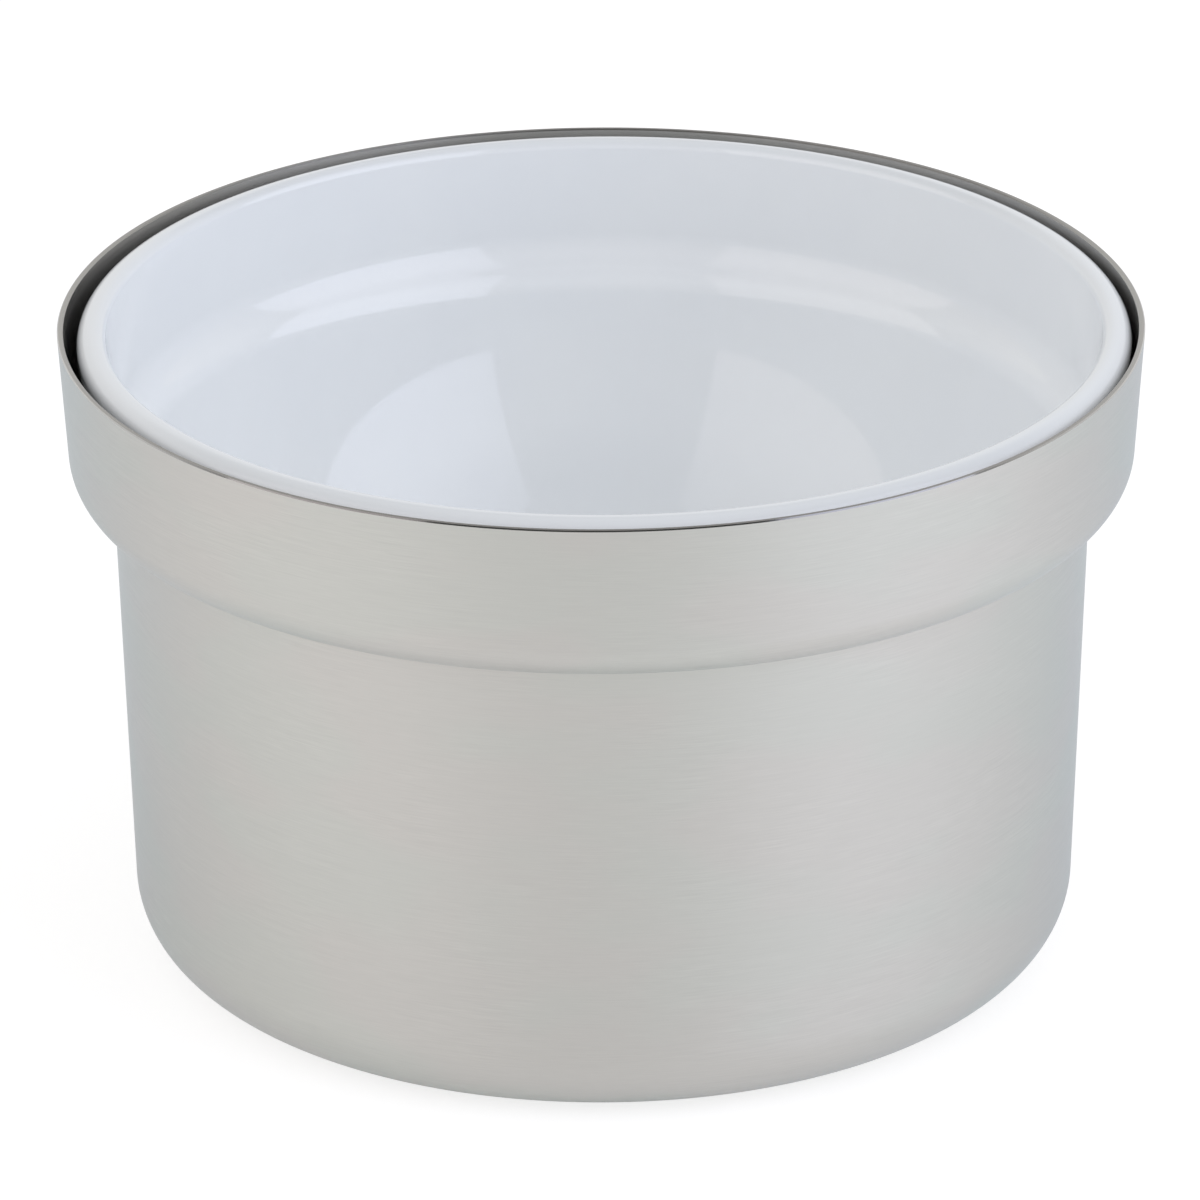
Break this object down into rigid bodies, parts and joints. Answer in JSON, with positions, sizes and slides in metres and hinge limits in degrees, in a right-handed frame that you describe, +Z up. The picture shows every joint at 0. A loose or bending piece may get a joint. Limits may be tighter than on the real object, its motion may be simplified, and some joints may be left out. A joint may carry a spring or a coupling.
{
  "type": "soup kettle",
  "caption": "Round steel soup kettle with a wide stepped collar, and a glazed porcelain bowl that rests on the step inside it and lifts straight out.",
  "frame": {"origin": "centre of the kettle's flat base, on the surface that it stands on", "axes": "+Z up along the kettle's axis, +X and +Y level"},
  "size_m": [0.2699, 0.27, 0.1653],
  "materials": {
    "steel": "satin, brushed round the kettle",
    "porcelain": "white gloss glaze"
  },
  "bodies": {
    "kettle": {"kettle": "steel"},
    "bowl": {"bowl": "porcelain"}
  },
  "joints": [
    {"name": "bowl_lift", "type": "slide", "parent": "kettle", "child": "bowl", "axis": [0, 0, 1], "range_m": [0, 0.18]}
  ]
}
